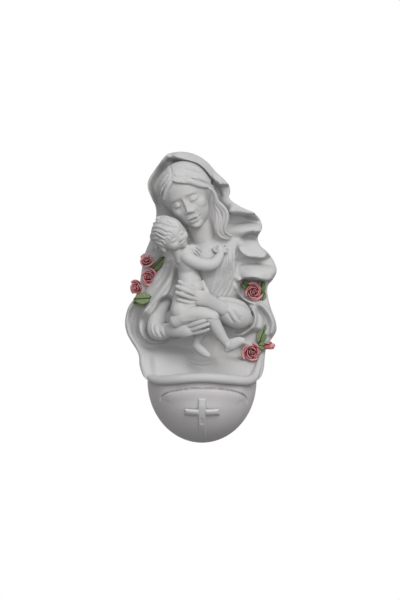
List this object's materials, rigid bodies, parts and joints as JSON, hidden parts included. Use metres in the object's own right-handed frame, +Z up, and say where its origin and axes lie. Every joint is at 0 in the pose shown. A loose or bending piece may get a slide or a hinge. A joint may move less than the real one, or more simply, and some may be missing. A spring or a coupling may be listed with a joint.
{
  "type": "holy water stoup",
  "caption": "Wall-hung ceramic holy water stoup: a mother in a veil holds her child above a half-round bowl with a raised cross, with applied roses and leaves.",
  "frame": {"origin": "centre of the round entry of the hanger's keyhole, in the plane of the wall", "axes": "+X to the right seen from the front, +Y into the wall, +Z up; the relief faces -Y"},
  "size_m": [0.1046, 0.0511, 0.2001],
  "materials": {
    "bisque": "matte",
    "rose_pink": "matte",
    "leaf_green": "satin",
    "plate_steel": "satin",
    "screw_zinc": "satin"
  },
  "bodies": {
    "root": {"mantle": "bisque", "water_bowl": "bisque", "bowl_lip": "bisque", "bowl_cross": "bisque", "mother_bodice": "bisque", "mother_head": "bisque", "mother_hair": "bisque", "mother_hair_lock": "bisque", "mother_left_sleeve": "bisque", "mother_right_sleeve": "bisque", "mother_left_hand": "bisque", "mother_right_hand": "bisque", "child_torso": "bisque", "child_head": "bisque", "child_hair": "bisque", "child_left_leg": "bisque", "child_right_leg": "bisque", "child_left_arm": "bisque", "child_right_hand": "bisque", "rose_1": "rose_pink", "rose_2": "rose_pink", "rose_3": "rose_pink", "rose_4": "rose_pink", "rose_5": "rose_pink", "rose_bud": "rose_pink", "leaf_1": "leaf_green", "leaf_2": "leaf_green", "leaf_3": "leaf_green", "leaf_4": "leaf_green", "leaf_5": "leaf_green", "leaf_6": "leaf_green", "leaf_7": "leaf_green", "hanger_plate": "plate_steel", "hanger_screws": "screw_zinc"}
  },
  "joints": []
}
